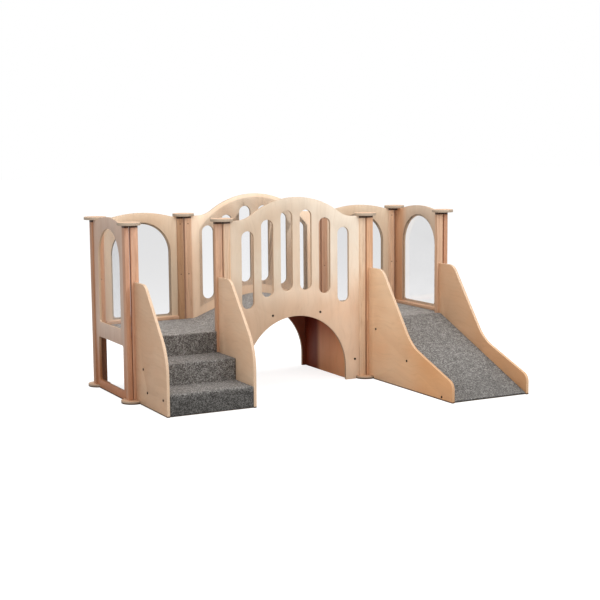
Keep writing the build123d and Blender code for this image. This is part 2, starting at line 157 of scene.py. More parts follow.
# Noise stretched along one axis of the object's own coordinates
def grainNoise(tree, coords, along, fine, coarse, detail, seed):
    scale = [fine, fine, fine]
    scale["XYZ".index(along)] = coarse
    mapped = addNode(
        tree,
        "ShaderNodeMapping",
        {"Vector": coords, "Scale": scale, "Location": (seed * 1.7, seed * 0.9, seed * 2.3)},
    )
    made = addNode(
        tree,
        "ShaderNodeTexNoise",
        {"Vector": mapped.outputs[0], "Scale": 1.0, "Detail": detail, "Roughness": 0.55},
    )
    return made.outputs[0]


# Birch plywood: veneer figure on the faces, stacked plies on the edges, painted light and shade where asked
def plywood(name, thickAxis, centre, along, face, seed, edgeLight, paintedMarks):
    mat, tree, bsdf = newMaterial(name)
    coords = addNode(tree, "ShaderNodeTexCoord").outputs["Object"]
    split = addNode(tree, "ShaderNodeSeparateXYZ", {0: coords})
    normal = addNode(tree, "ShaderNodeNewGeometry").outputs["True Normal"]
    facing = addNode(tree, "ShaderNodeSeparateXYZ", {0: normal})
    index = "XYZ".index(thickAxis)
    light = tinted(face, 1.10, 1.10, 1.10)
    dark = tinted(face, 0.86, 0.80, 0.74)
    warm = (face[0] * 1.03, face[1] * 0.93, face[2] * 0.86, 1.0)
    wander = wandering(tree, coords, 0.16, seed)
    broad = grainNoise(tree, wander, along, 14.0, 1.1, 3.0, seed)
    lines = grainNoise(tree, wander, along, 62.0, 2.2, 4.0, seed + 3.0)
    fibre = grainNoise(tree, coords, along, 420.0, 9.0, 2.0, seed + 5.0)
    cloud = grainNoise(tree, coords, along, 3.6, 2.2, 3.0, seed + 7.0)
    body = mixColor(tree, rising(tree, broad, 0.32, 0.68), face, light)
    body = mixColor(tree, rising(tree, cloud, 0.42, 0.72), body, warm)
    streak = mathNode(tree, "MULTIPLY", rising(tree, lines, 0.50, 0.70), 0.34)
    body = mixColor(tree, streak, body, dark)
    fleck = mathNode(tree, "MULTIPLY", rising(tree, fibre, 0.58, 0.74), 0.30)
    body = mixColor(tree, fleck, body, dark)
    # Plies counted through the sheet's thickness
    depth = mathNode(tree, "SUBTRACT", split.outputs[index], centre - sheetT / 2)
    count = mathNode(tree, "MULTIPLY", depth, plyCount / sheetT)
    wave = mathNode(tree, "FRACT", mathNode(tree, "MULTIPLY", count, 0.5))
    edgeDark = tinted(edgeLight, 0.70, 0.58, 0.47)
    glue = tinted(edgeLight, 0.36, 0.25, 0.17)
    stack = ramp(
        tree,
        wave,
        [
            (0.0, glue),
            (0.05, edgeLight),
            (0.46, edgeLight),
            (0.50, glue),
            (0.55, edgeDark),
            (0.96, edgeDark),
        ],
    )
    pores = grainNoise(tree, coords, thickAxis, 300.0, 700.0, 2.0, seed + 11.0)
    pit = mathNode(tree, "MULTIPLY", rising(tree, pores, 0.52, 0.70), 0.35)
    stack = mixColor(tree, pit, stack, edgeDark)
    onFace = rising(tree, mathNode(tree, "ABSOLUTE", facing.outputs[index]), 0.62, 0.74)
    color = mixColor(tree, onFace, stack, body)
    # Painted light and shade: the colour multiplied by a tint that grows along an axis, on one face of the
    # sheet or on all of it
    for axis, begin, end, side, markTint in paintedMarks:
        reached = eased(tree, split.outputs[axis], begin, end)
        if side:
            faced = mathNode(tree, "MULTIPLY", facing.outputs[index], side)
            reached = mathNode(tree, "MULTIPLY", reached, mathNode(tree, "GREATER_THAN", faced, 0.5))
        color = mixColor(tree, reached, color, mixColor(tree, 1.0, color, markTint, "MULTIPLY"))
    tree.links.new(color, bsdf.inputs["Base Color"])
    rough = mathNode(tree, "MULTIPLY_ADD", lines, 0.16, 0.40)
    tree.links.new(rough, bsdf.inputs["Roughness"])
    bsdf.inputs["Specular IOR Level"].default_value = 0.36
    bsdf.inputs["Coat Weight"].default_value = 0.12
    bsdf.inputs["Coat Roughness"].default_value = 0.32
    relief = mathNode(tree, "ADD", mathNode(tree, "MULTIPLY", fibre, 0.5), lines)
    bump = addNode(tree, "ShaderNodeBump", {"Strength": 0.10, "Distance": 0.0006, "Height": relief})
    tree.links.new(bump.outputs[0], bsdf.inputs["Normal"])
    return mat


# Steamed beech: fine straight grain with short dark rays, and a painted shadow just under a top disc
def beech(name, along, tone, seed, discShadowTop=None):
    mat, tree, bsdf = newMaterial(name)
    coords = addNode(tree, "ShaderNodeTexCoord").outputs["Object"]
    dark = tinted(tone, 0.70, 0.58, 0.50)
    light = tinted(tone, 1.18, 1.16, 1.10)
    wander = wandering(tree, coords, 0.05, seed)
    board = grainNoise(tree, wander, along, 34.0, 0.7, 3.0, seed)
    lines = grainNoise(tree, wander, along, 130.0, 1.6, 4.0, seed + 2.0)
    rays = grainNoise(tree, coords, along, 620.0, 62.0, 1.0, seed + 4.0)
    body = mixColor(tree, rising(tree, board, 0.36, 0.66), tone, light)
    streak = mathNode(tree, "MULTIPLY", rising(tree, lines, 0.46, 0.68), 0.62)
    body = mixColor(tree, streak, body, dark)
    tick = mathNode(tree, "MULTIPLY", rising(tree, rays, 0.63, 0.70), 0.45)
    body = mixColor(tree, tick, body, dark)
    # Painted shadow of the top disc: the stile's top darkened in a band just under it
    if discShadowTop:
        height = addNode(tree, "ShaderNodeSeparateXYZ", {0: coords}).outputs["Z"]
        discShadow = eased(tree, height, discShadowTop - discShadowBand["deep"], discShadowTop - discShadowBand["solid"])
        body = mixColor(tree, mathNode(tree, "MULTIPLY", discShadow, 0.93), body, discShadowBand["color"])
    tree.links.new(body, bsdf.inputs["Base Color"])
    tree.links.new(mathNode(tree, "MULTIPLY_ADD", lines, 0.18, 0.36), bsdf.inputs["Roughness"])
    bsdf.inputs["Specular IOR Level"].default_value = 0.40
    bsdf.inputs["Coat Weight"].default_value = 0.15
    bsdf.inputs["Coat Roughness"].default_value = 0.30
    relief = mathNode(tree, "ADD", mathNode(tree, "MULTIPLY", rays, 0.6), lines)
    bump = addNode(tree, "ShaderNodeBump", {"Strength": 0.12, "Distance": 0.0006, "Height": relief})
    tree.links.new(bump.outputs[0], bsdf.inputs["Normal"])
    return mat


# Greys of the pile, from the deepest loops to the palest
pileGreys = [
    (0.12, (98, 94, 90)),
    (0.38, (122, 118, 114)),
    (0.56, (142, 138, 134)),
    (0.74, (166, 162, 157)),
    (0.92, (198, 194, 189)),
]


# Speckled loop-pile carpet: loops 3 to 4 mm across, gathered in small flecks, painted shade in the gaps
# between loops and, where asked, towards the floor
def carpetCloth(name, perMetre, level, speckle, shadeTowardsFloor):
    mat, tree, bsdf = newMaterial(name)
    coords = addNode(tree, "ShaderNodeTexCoord").outputs["Object"]
    height = addNode(tree, "ShaderNodeSeparateXYZ", {0: coords}).outputs["Z"]
    loops = addNode(tree, "ShaderNodeTexVoronoi", {"Vector": coords, "Scale": perMetre, "Randomness": 0.85})
    pick = addNode(tree, "ShaderNodeSeparateColor", {0: loops.outputs["Color"]})
    flecks = addNode(
        tree, "ShaderNodeTexVoronoi", {"Vector": coords, "Scale": perMetre * 0.5, "Randomness": 1.0}
    )
    group = addNode(tree, "ShaderNodeSeparateColor", {0: flecks.outputs["Color"]})
    drift = addNode(
        tree, "ShaderNodeTexNoise", {"Vector": coords, "Scale": 26.0, "Detail": 3.0, "Roughness": 0.6}
    )
    blend = mathNode(tree, "MULTIPLY", group.outputs[0], 0.34)
    blend = mathNode(tree, "MULTIPLY_ADD", pick.outputs[0], 0.40, blend)
    blend = mathNode(tree, "ADD", blend, mathNode(tree, "MULTIPLY", drift.outputs[0], 0.30))
    blend = mathNode(tree, "MULTIPLY_ADD", mathNode(tree, "SUBTRACT", blend, 0.52), speckle, 0.52)
    # The level is painted light and shade on one carpet: lighter on the decks and bridge, darker on the
    # stairs and slide
    greys = [(place, tinted(srgb(*grey), level, level, level)) for place, grey in pileGreys]
    color = ramp(tree, blend, greys)
    # Painted shade in the gaps between the loops
    loopGapShade = ramp(tree, loops.outputs["Distance"], [(0.30, (1, 1, 1, 1)), (0.80, (0.66, 0.66, 0.66, 1))])
    color = mixColor(tree, 1.0, color, loopGapShade, "MULTIPLY")
    # Painted shade: darker between the given heights, towards the floor
    for begin, end, shade in shadeTowardsFloor:
        darker = mixColor(tree, 1.0, color, (shade, shade, shade, 1.0), "MULTIPLY")
        color = mixColor(tree, eased(tree, height, begin, end), color, darker)
    tree.links.new(color, bsdf.inputs["Base Color"])
    bsdf.inputs["Roughness"].default_value = 0.95
    bsdf.inputs["Specular IOR Level"].default_value = 0.12
    bsdf.inputs["Sheen Weight"].default_value = 0.12
    bsdf.inputs["Sheen Roughness"].default_value = 0.6
    crown = mathNode(tree, "SUBTRACT", 1.0, loops.outputs["Distance"])
    bump = addNode(tree, "ShaderNodeBump", {"Strength": 0.9, "Distance": 0.0022, "Height": crown})
    tree.links.new(bump.outputs[0], bsdf.inputs["Normal"])
    return mat


# Clear acrylic: mostly see-through with a faint grey tint and a soft gloss
def clearSheet(name, tint):
    mat, tree, bsdf = newMaterial(name)
    tree.nodes.remove(bsdf)
    through = addNode(tree, "ShaderNodeBsdfTransparent", {"Color": (tint, tint, tint * 1.004, 1.0)})
    gloss = addNode(tree, "ShaderNodeBsdfGlossy", {"Color": (1, 1, 1, 1), "Roughness": 0.04})
    fresnel = addNode(tree, "ShaderNodeFresnel", {"IOR": 1.49})
    haze = addNode(tree, "ShaderNodeTexCoord").outputs["Object"]
    smear = addNode(tree, "ShaderNodeTexNoise", {"Vector": haze, "Scale": 7.0, "Detail": 2.0})
    uneven = mathNode(tree, "MULTIPLY_ADD", smear.outputs[0], 0.12, 0.14)
    share = mathNode(tree, "MULTIPLY", fresnel.outputs[0], uneven)
    mixed = addNode(tree, "ShaderNodeMixShader", {0: share, 1: through.outputs[0], 2: gloss.outputs[0]})
    tree.links.new(mixed.outputs[0], tree.nodes["Material Output"].inputs["Surface"])
    return mat


# Zinc-plated steel with fine turning marks
def plated(name, tone):
    mat, tree, bsdf = newMaterial(name)
    coords = addNode(tree, "ShaderNodeTexCoord").outputs["Object"]
    marks = addNode(tree, "ShaderNodeTexNoise", {"Vector": coords, "Scale": 900.0, "Detail": 3.0})
    color = mixColor(tree, marks.outputs[0], tone, tinted(tone, 0.6, 0.6, 0.6))
    tree.links.new(color, bsdf.inputs["Base Color"])
    bsdf.inputs["Metallic"].default_value = 0.8
    tree.links.new(mathNode(tree, "MULTIPLY_ADD", marks.outputs[0], 0.25, 0.28), bsdf.inputs["Roughness"])
    return mat


# A mesh as a piece of the object, standing for a CAD node
def settled(name, mesh, node):
    piece = bpy.data.objects.new(name, mesh)
    scene.collection.objects.link(piece)
    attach(piece, "root")
    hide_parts(node)
    return piece


# Metres and degrees: what is merged, what counts as flat, as an edge to ease and as a smooth bend
# on wood and on a head, and how wood stands out towards its neighbour below a height
finish = {"merge": 0.00002, "flat": 0.4, "edge": 35, "smooth": 30, "head": 38}
swelling = {"top": 0.395, "fade": 0.012, "reach": 0.0058, "amount": 0.0020}


# A CAD node's shape with its loose triangles merged, its edges eased and its shading smooth
def dressed(node, material, ease=0.0012, swell=None):
    bm = bmesh.new()
    bm.from_mesh(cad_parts[node].data)
    bmesh.ops.remove_doubles(bm, verts=bm.verts, dist=finish["merge"])
    flat, edgeAngle = math.radians(finish["flat"]), math.radians(finish["edge"])
    bmesh.ops.dissolve_limit(bm, angle_limit=flat, verts=bm.verts, edges=bm.edges)
    if ease:
        sharp = [
            edge
            for edge in bm.edges
            if len(edge.link_faces) == 2 and edge.calc_face_angle(0) > edgeAngle
        ]
        bmesh.ops.bevel(
            bm,
            geom=sharp,
            offset=ease,
            offset_type="OFFSET",
            segments=2,
            profile=0.5,
            affect="EDGES",
            clamp_overlap=True,
        )
    if swell:
        faceX, side = swell
        height = swelling["top"]
        for cut in (height, height + swelling["fade"]):
            parts = list(bm.verts) + list(bm.edges) + list(bm.faces)
            bmesh.ops.bisect_plane(bm, geom=parts, plane_co=(0, 0, cut), plane_no=(0, 0, 1))
        for vert in bm.verts:
            if vert.co.z < height + 0.001 and abs(vert.co.x - faceX) < swelling["reach"]:
                vert.co.x += side * swelling["amount"]
    bmesh.ops.triangulate(bm, faces=[face for face in bm.faces if len(face.verts) > 4])
    mesh = bpy.data.meshes.new(node + "_finished")
    bm.to_mesh(mesh)
    bm.free()
    for polygon in mesh.polygons:
        polygon.use_smooth = True
    mesh.set_sharp_from_angle(angle=math.radians(finish["smooth"]))
    mesh.materials.append(material)
    return settled(node + "_finished", mesh, node)


# A path of straight runs with rounded corners, as evenly spaced points with normals
def samplePath(corners, radii, step, side):
    dense = []
    for index, corner in enumerate(corners):
        at = Vector(corner)
        if index in (0, len(corners) - 1) or not radii[index]:
            dense.append(at)
            continue
        before = (Vector(corners[index - 1]) - at).normalized()
        after = (Vector(corners[index + 1]) - at).normalized()
        half = before.angle(after) / 2
        reach = radii[index] / math.tan(half)
        centre = at + (before + after).normalized() * (radii[index] / math.sin(half))
        start = at + before * reach - centre
        turn = math.pi - 2 * half
        sign = 1 if start.cross(at + after * reach - centre) > 0 else -1
        parts = max(3, math.ceil(turn * radii[index] / step))
        for part in range(parts + 1):
            angle = sign * turn * part / parts
            spun = Vector(
                (
                    start.x * math.cos(angle) - start.y * math.sin(angle),
                    start.x * math.sin(angle) + start.y * math.cos(angle),
                )
            )
            dense.append(centre + spun)
    points = [dense[0]]
    for a, b in zip(dense, dense[1:]):
        parts = max(1, math.ceil((b - a).length / step - 0.01))
        for part in range(1, parts + 1):
            points.append(a.lerp(b, part / parts))
    normals = []
    for index in range(len(points)):
        a = points[max(0, index - 1)]
        b = points[min(len(points) - 1, index + 1)]
        along = (b - a).normalized()
        normals.append(Vector((-along.y, along.x)) * side)
    return points, normals


# Evenly divided lines that pass through every given stop
def lanes(stops, step):
    out = [stops[0]]
    for a, b in zip(stops, stops[1:]):
        parts = max(1, math.ceil((b - a) / step - 0.01))
        out += [a + (b - a) * part / parts for part in range(1, parts + 1)]
    return out


# The pile's shape in metres: mesh pitches, how far the edges drop, how far loops rise and stray,
# and how far the underside stays off the board. dips is the share of loops below the carpet's
# own level, and waves is how many slow waves there are to a metre
pile = {
    "pitch": 0.006,
    "stairPitch": 0.005,
    "edgeDrop": 0.0026,
    "nearDrop": 0.0007,
    "loopRise": 0.0014,
    "stray": 0.0006,
    "dips": 0.6,
    "wave": 0.0005,
    "waves": 9.0,
    "lift": 0.0001,
}


# A carpet swept along a path: closed, loops raised on top, edges rolled down
def carpetPiece(name, node, plane, path, across, keep, material, seed):
    points, normals = path
    rows, columns = len(points), len(across)
    kept = set()
    for i in range(rows - 1):
        for j in range(columns - 1):
            middle = (points[i] + points[i + 1]) / 2
            if keep(middle, (across[j] + across[j + 1]) / 2):
                kept.add((i, j))
    edgeRing = {}
    for i in range(rows):
        for j in range(columns):
            cells = [(i - 1, j - 1), (i - 1, j), (i, j - 1), (i, j)]
            held = sum(cell in kept for cell in cells)
            if held:
                edgeRing[(i, j)] = held < 4

    def place(point, lane):
        if plane == "YZ":
            return Vector((lane, point.x, point.y))
        return Vector((point.x, lane, point.y))

    bm = bmesh.new()
    top, low = {}, {}
    spin = random.Random(seed)
    for (i, j), onEdge in edgeRing.items():
        point, normal = points[i], normals[i]
        near = any(edgeRing.get((i + a, j + b), True) for a in (-1, 0, 1) for b in (-1, 0, 1))
        sink = pile["edgeDrop"] if onEdge else (pile["nearDrop"] if near else 0.0)
        loop = 0.0 if onEdge else (spin.random() - pile["dips"]) * pile["loopRise"]
        up = place(point + normal * (loop - sink), across[j])
        if not near:
            up += Vector((spin.uniform(-1, 1), spin.uniform(-1, 1), 0)) * pile["stray"]
        wave = noise.noise(up * pile["waves"]) * pile["wave"]
        top[(i, j)] = bm.verts.new(up + Vector((0, 0, -abs(wave))))
        low[(i, j)] = bm.verts.new(place(point - normal * (carpetT - pile["lift"]), across[j]))
    flip = plane == "YZ"
    for i, j in kept:
        ring = [(i, j), (i + 1, j), (i + 1, j + 1), (i, j + 1)]
        if flip:
            ring.reverse()
        bm.faces.new([top[key] for key in ring])
        bm.faces.new([low[key] for key in reversed(ring)])
        for a, b in zip(ring, ring[1:] + ring[:1]):
            if b[0] != a[0]:
                other = (min(a[0], b[0]), j - 1 if a[1] == j else j + 1)
            else:
                other = (i - 1 if a[0] == i else i + 1, min(a[1], b[1]))
            if other not in kept:
                bm.faces.new([top[b], top[a], low[a], low[b]])
    bmesh.ops.recalc_face_normals(bm, faces=bm.faces)
    mesh = bpy.data.meshes.new(name)
    bm.to_mesh(mesh)
    bm.free()
    for polygon in mesh.polygons:
        polygon.use_smooth = True
    mesh.materials.append(material)
    piece = settled(name, mesh, node)


# Plywood colours, partly the wood's own tone and partly painted light and shade for how light falls on each
# group of sheets, and those of the sheets' edges
birch = {
    "bridge": srgb(238, 222, 202),
    "bridge rear": srgb(240, 211, 182),
    "window rear": srgb(222, 199, 172),
    "window side": srgb(213, 187, 169),
    "tunnel": srgb(247, 184, 138),
    "stair": srgb(215, 179, 147),
    # Painted light: the stair's birch made lighter for its inner sheet, which stands in shade
    "stair inner lit": srgb(231, 202, 172),
    "slide": srgb(238, 204, 168),
    "slide far": srgb(212, 176, 142),
}
plyEdge = {
    "soft": srgb(222, 196, 168),
    "pale": srgb(243, 217, 190),
    "top disc": srgb(204, 190, 173),
    "base disc": srgb(204, 184, 164),
    "inside": srgb(246, 220, 188),
}

# Painted light and shade along an axis: the axis, where each begins and is full, the side it is on
# (1 and -1 for one face of the sheet, 0 for all of it) and the colour it multiplies by, under 1 for painted
# shade and over 1 for painted light
underDeck = deckTop - 0.035
# Painted shade: the deep red-brown of the tunnel and of the sheets' faces below the deck
tunnelShadeRed = (0.27, 0.085, 0.042, 1.0)
# Painted shade: the tunnel walls darker towards the floor
wallShadeRed = (0.62, 0.36, 0.24, 1.0)
# Painted contact shadow along the foot of sheets and discs
groundShadow = ("Z", 0.010, 0.005, 0, (0.14, 0.09, 0.06, 1.0))
# Painted shade on the tunnel walls: darker low down and towards the rear
tunnelShade = [("Z", 0.12, 0.40, 0, wallShadeRed), ("Y", 0.54, 0.62, 0, tunnelShadeRed)]
paintedLightAndShade = {
    # Painted shade on the front bridge sheet: inside it below the deck, and on its outer face darker low
    # down and towards the left
    "bridge_side_front": [
        ("Z", underDeck + 0.03, underDeck, 1, tunnelShadeRed),
        ("Z", 0.80, 0.46, -1, (0.87, 0.75, 0.67, 1.0)),
        ("X", 0.35, -0.30, -1, (0.80, 0.78, 0.75, 1.0)),
    ],
    # Painted shade on the rear bridge sheet's inner face below the deck, and painted light on that face's
    # upper part
    "bridge_side_rear": [
        ("Z", underDeck + 0.03, underDeck, -1, tunnelShadeRed),
        ("Z", 0.80, 1.05, -1, (1.10, 1.18, 1.24, 1.0)),
    ],
    "tunnel_wall_left": tunnelShade,
    "tunnel_wall_right": tunnelShade,
    # Painted shade on the bridge deck low down
    "bridge_deck": [("Z", 0.2, 0.1, 0, tunnelShadeRed)],
    # Painted shade: the left window sheet darker and redder towards the floor
    "window_panel_left": [("Z", 0.44, 0.10, 0, (0.80, 0.46, 0.28, 1.0)), groundShadow],
    # Painted light over the right window sheet's face that looks left, and painted shade on it towards the
    # rear
    "window_panel_right": [
        ("Z", -2.0, -1.0, -1, (1.02, 1.06, 1.00, 1.0)),
        ("Y", 0.60, 0.70, -1, (0.92, 0.68, 0.52, 1.0)),
        groundShadow,
    ],
    # Painted shade: the slide's sides darker towards their foot at the front
    "slide_side_left": [("Y", -0.05, -0.62, 0, (0.83, 0.66, 0.50, 1.0)), groundShadow],
    "slide_side_right": [("Y", -0.05, -0.62, 0, (0.92, 0.82, 0.70, 1.0)), groundShadow],
    # Painted contact shadow at the feet of the stair sides and base discs
    "stair_side_left": [groundShadow],
    "stair_side_right": [groundShadow],
    "base_discs": [groundShadow],
}

# Each sheet: its node, the axis through it, the grain's axis, its colour and its edge
sheets = [
    ("bridge_side_front", "Y", "Z", "bridge", "soft"),
    ("bridge_side_rear", "Y", "Z", "bridge rear", "soft"),
    ("window_panel_left", "X", "Z", "window side", "soft"),
    ("window_panel_right", "X", "Z", "window side", "soft"),
    ("window_panel_rear_left", "Y", "Z", "window rear", "soft"),
    ("window_panel_rear_right", "Y", "Z", "window rear", "soft"),
    ("tunnel_wall_left", "X", "Z", "tunnel", "soft"),
    ("tunnel_wall_right", "X", "Z", "tunnel", "soft"),
    ("stair_side_left", "X", "Y", "stair", "pale"),
    ("stair_side_right", "X", "Y", "stair inner lit", "pale"),
    ("slide_side_left", "X", "Y", "slide", "pale"),
    ("slide_side_right", "X", "Y", "slide far", "pale"),
    ("top_discs", "Z", "X", "stair", "top disc"),
    ("base_discs", "Z", "X", "stair", "base disc"),
    ("deck_board_left", "Z", "X", "stair", "inside"),
    ("deck_board_right", "Z", "X", "stair", "inside"),
    ("bridge_deck", "Z", "Y", "tunnel", "inside"),
    ("stair_tread_lower", "Z", "X", "stair", "inside"),
    ("stair_tread_upper", "Z", "X", "stair", "inside"),
    ("stair_riser_lower", "Y", "X", "stair", "inside"),
    ("stair_riser_middle", "Y", "X", "stair", "inside"),
    ("stair_riser_top", "Y", "X", "stair", "inside"),
    ("slide_bed", "Z", "Y", "stair", "inside"),
]
for number, (node, thickAxis, along, face, edge) in enumerate(sheets, 1):
    low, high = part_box(node)
    index = "XYZ".index(thickAxis)
    centre = (low[index] + high[index]) / 2
    veneer = plywood(
        "ply_" + node, thickAxis, centre, along, birch[face], number, plyEdge[edge], paintedLightAndShade.get(node, [])
    )
    dressed(node, veneer)
print("sheets done")

# Stiles: the usual beech, those that differ from it, partly their own tone and partly painted shade, and
# the painted shadow band below the top discs
beechUsual = srgb(216, 177, 147)
stileToneAndShade = {
    "stile_left_side_front": srgb(200, 151, 121),
    "stile_stair_left": srgb(206, 159, 129),
    "stile_stair_right": srgb(206, 164, 134),
    "stile_bridge_front_left": srgb(222, 190, 160),
    "stile_bridge_front_right": srgb(226, 197, 169),
    "stile_slide_left": srgb(214, 168, 132),
    # Painted shade: the rear left inner stile darker as it stands in shade
    "stile_rear_left_inner": srgb(184, 144, 110),
    "stile_left_side_rear": srgb(197, 148, 117),
    "stile_rear_left_outer": srgb(200, 152, 120),
    "stile_rear_right_outer": srgb(224, 190, 161),
    "stile_right_side_rear": srgb(198, 150, 116),
    "stile_bridge_rear_right": srgb(204, 160, 130),
    "stile_rear_right_inner": srgb(200, 156, 126),
    "stile_right_side_front": srgb(206, 152, 118),
}
# Painted shadow under the top discs: where it begins below the stiles' top, where it is solid, and its
# colour
discShadowBand = {"deep": 0.0175, "solid": 0.0135, "color": srgb(44, 18, 8)}
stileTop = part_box("stile_stair_left")[1].z

# The pair at the front left corner stands closer together below the deck
swells = {
    "stile_left_side_front": (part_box("stile_left_side_front")[1].x, 1),
    "stile_stair_left": (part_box("stile_stair_left")[0].x, -1),
}
stiles = sorted(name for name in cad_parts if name.startswith("stile_") and name != "stile_screws")
for number, node in enumerate(stiles):
    shade = 0.93 + 0.10 * ((number * 7) % 5) / 4
    tone = tinted(stileToneAndShade.get(node, beechUsual), shade, shade * 0.99, shade * 0.98)
    wood = beech("beech_" + node, "Z", tone, number * 1.9, stileTop)
    dressed(node, wood, 0.0008, swells.get(node))
rails = [
    ("bridge_cross_rails", "Y"),
    ("deck_rails_left", "X"),
    ("deck_rails_right", "X"),
    ("stair_cross_rails", "X"),
    ("slide_cross_rails", "X"),
    ("toe_strips", "X"),
]
for number, (node, along) in enumerate(rails, 41):
    dressed(node, beech("beech_" + node, along, beechUsual, number), 0.002)
print("beech done")

# Clear sheets: what each lets through a face, and where it is used
clears = [
    ("clear_greyed", 0.858, ["window_pane_rear_left", "window_pane_rear_right"]),
    ("clear_slots", 0.912, ["slot_sheet_rear"]),
    ("clear_soft", 0.925, ["window_pane_right"]),
    ("clear_bright", 0.996, ["window_pane_left", "slot_sheet_front"]),
]
for name, tint, nodes in clears:
    acrylic = clearSheet(name, tint)
    for node in nodes:
        dressed(node, acrylic, 0.0)
print("clear sheets done")

# How each carpet looks: loops to a metre, lightness (painted light and shade on one carpet), how speckled
# it is, and painted shade towards the floor, ending in a painted contact shadow (from which height down to
# which, with the share of light left)
carpetLooks = {
    "carpet_speckled": (290.0, 1.18, 1.4, []),
    "carpet_stairs_speckled": (300.0, 0.74, 2.3, [(0.14, 0.10, 0.50), (0.012, 0.002, 0.12)]),
    "carpet_slide_speckled": (300.0, 0.78, 1.7, [(0.20, 0.03, 0.80), (0.013, 0.006, 0.12)]),
}
rug, stairRug, slideRug = [carpetCloth(name, *look) for name, look in carpetLooks.items()]

# Lines that the carpets are cut to: the corner pairs' axes and the notches round their stiles
play = 0.001
slack = 0.0005
overAxis = 0.004
deckNosing = 0.0072
stileLow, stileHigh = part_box("stile_stair_left")
halfT = (stileHigh.y - stileLow.y) / 2
leftAxis = stileLow.x - halfGap
rightAxis = -leftAxis - platformWidth
frontLine = (stileLow.y + stileHigh.y) / 2
backLine = frontLine + platformDepth
notchX = stileHigh.x - leftAxis + slack
notchY = halfT + slack
reachY = stileHigh.x - stileLow.x - halfT + slack


# Whether a cell of a deck carpet lies clear of the stiles
def deckKeep(axis, y, x):
    side = min(x - axis, axis + platformWidth - x)
    depth = min(y - frontLine, backLine - y)
    if side < notchX and depth < notchY:
        return False
    if side < -overAxis and depth < reachY:
        return False
    return depth > -halfT - play


# A deck's carpet, rolled over the front edge where it meets the stairs
def deckCarpet(side, axis, nosing, seed):
    node = "carpet_" + side + "_deck"
    low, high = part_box(node)
    corners = [(low.y, high.z), (high.y, high.z)]
    if nosing:
        corners.insert(0, (low.y, high.z - carpetT))
    points, normals = samplePath(corners, [0, deckNosing, 0], pile["pitch"], 1)
    stops = [frontLine + notchY, frontLine + reachY, backLine - reachY, backLine - notchY]
    snapped = []
    for point in points:
        nearest = min(stops, key=lambda stop: abs(stop - point.x))
        if abs(nearest - point.x) < pile["pitch"] * 0.5:
            point = Vector((nearest, point.y))
        snapped.append(point)
    farAxis = axis + platformWidth
    cuts = {low.x + play, axis - overAxis, axis + notchX}
    cuts |= {farAxis - notchX, farAxis + overAxis, high.x - play}
    carpetPiece(
        node + "_pile",
        node,
        "YZ",
        (snapped, normals),
        lanes(sorted(x for x in cuts if low.x < x < high.x), pile["pitch"]),
        lambda point, lane: deckKeep(axis, point.x, lane),
        rug,
        seed,
    )


deckCarpet("left", leftAxis, True, 11)
deckCarpet("right", rightAxis, False, 12)

# Stairs: riser, nosing, tread, three times
stairBend = {"nosing": 0.0095, "corner": 0.004}
low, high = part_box("carpet_stairs")
topRiser = frontLine - halfT
middleRiser = (low.y + topRiser) / 2
stairLine = [
    (low.y, low.z + play),
    (low.y, rise),
    (middleRiser, rise),
    (middleRiser, 2 * rise),
    (topRiser, 2 * rise),
    (topRiser, 3 * rise - carpetT),
]
stairRadii = [0, stairBend["nosing"], stairBend["corner"], stairBend["nosing"], stairBend["corner"], 0]


def stairKeep(point, lane):
    inner = min(lane - leftAxis, leftAxis + platformWidth - lane)
    return point.x < topRiser - play or inner > notchX


stairCuts = [low.x + play, leftAxis + notchX, leftAxis + platformWidth - notchX, high.x - play]
carpetPiece(
    "carpet_stairs_pile",
    "carpet_stairs",
    "YZ",
    samplePath(stairLine, stairRadii, pile["stairPitch"], 1),
    lanes(stairCuts, pile["pitch"]),
    stairKeep,
    stairRug,
    13,
)

# Slide: a short level lip, a soft knee and the straight run to the floor
slideBend = {"lip": 0.048, "footHeight": 0.014, "footRadius": 0.005, "kneeRadius": 0.045}
low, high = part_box("carpet_slide")
slideLine = [
    (low.y, low.z + play),
    (low.y, slideBend["footHeight"]),
    (frontLine - slideBend["lip"], deckTop),
    (high.y, deckTop),
]
carpetPiece(
    "carpet_slide_pile",
    "carpet_slide",
    "YZ",
    samplePath(slideLine, [0, slideBend["footRadius"], slideBend["kneeRadius"], 0], pile["pitch"], 1),
    lanes([low.x + play, high.x - play], pile["pitch"]),
    lambda point, lane: True,
    slideRug,
    14,
)

# Bridge: level ends, ramps and a rounded crown, on the same arcs as its deck
bridgeBend = {"halfSpan": 0.525, "level": 0.065, "crownRadius": 0.450, "kneeRadius": 0.100, "clear": 0.4715}
low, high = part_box("carpet_bridge")
footX = bridgeBend["halfSpan"] - bridgeBend["level"]
footDrop = deckTop - (high.z - bridgeBend["crownRadius"])
tangent = math.acos(bridgeBend["crownRadius"] / math.hypot(footX, footDrop))
lean = math.atan2(footX, footDrop) - tangent
bridgeLine = [
    (low.x + play, deckTop),
    (-footX, deckTop),
    (0.0, deckTop + footX * math.tan(lean)),
    (footX, deckTop),
    (high.x - play, deckTop),
]
bridgeRadii = [0, bridgeBend["kneeRadius"], bridgeBend["crownRadius"], bridgeBend["kneeRadius"], 0]


def bridgeKeep(point, lane):
    inner = min(lane - frontLine, backLine - lane)
    return abs(point.x) < bridgeBend["clear"] or inner > notchY


carpetPiece(
    "carpet_bridge_pile",
    "carpet_bridge",
    "XZ",
    samplePath(bridgeLine, bridgeRadii, pile["pitch"], 1),
    lanes([low.y + play, frontLine + notchY, backLine - notchY, high.y - play], pile["pitch"]),
    bridgeKeep,
    rug,
    15,
)
print("carpets done")

